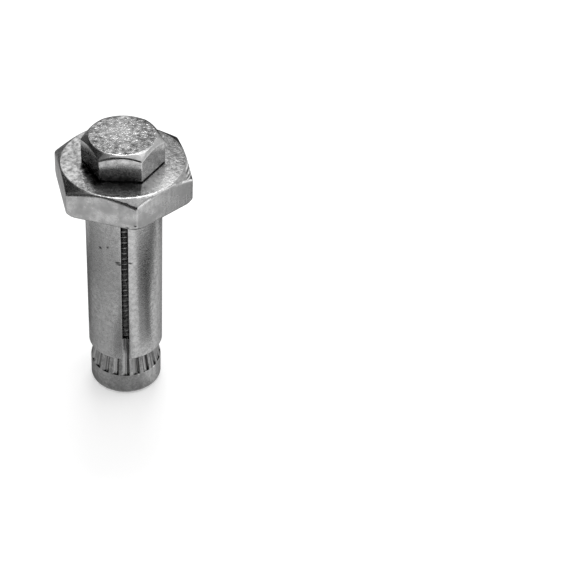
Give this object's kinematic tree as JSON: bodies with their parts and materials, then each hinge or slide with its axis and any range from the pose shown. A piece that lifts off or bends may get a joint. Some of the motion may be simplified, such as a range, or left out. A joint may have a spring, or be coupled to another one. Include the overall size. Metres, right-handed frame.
{
  "type": "blind bolt",
  "caption": "Expansion bolt for hollow sections: hexagon bolt through a hex-collared slotted sleeve, screwed into a serrated cone nut that spreads the sleeve's legs.",
  "frame": {"origin": "centre of the cone nut's flat end, on the bolt's axis; the part stands on this end", "axes": "+Z runs along the bolt from the cone nut to the head; the sleeve's slots lie along X and Y, one of them towards -Y"},
  "size_m": [0.034, 0.0358, 0.0784],
  "materials": {
    "bolt_steel": "zinc plated, satin, with a cold-formed head",
    "sleeve_steel": "zinc plated, satin, fine turned and tumbled surface",
    "nut_steel": "zinc plated, satin, with cut serrations"
  },
  "bodies": {
    "nut": {"cone_nut": "nut_steel"},
    "sleeve": {"collared_sleeve": "sleeve_steel"},
    "bolt": {"hex_bolt": "bolt_steel"}
  },
  "joints": [
    {"name": "sleeve_lift", "type": "slide", "parent": "nut", "child": "sleeve", "axis": [0, 0, 1], "range_m": [0, 0.014]},
    {"name": "bolt_turn", "type": "hinge", "parent": "sleeve", "child": "bolt", "pos_m": [0, 0, 0.07085], "axis": [0, 0, 1], "range_deg": [0, 2880]}
  ],
  "couplings": [
    {"joint": "bolt_turn", "follows": "sleeve_lift", "rad_per_m": 3590.4}
  ]
}
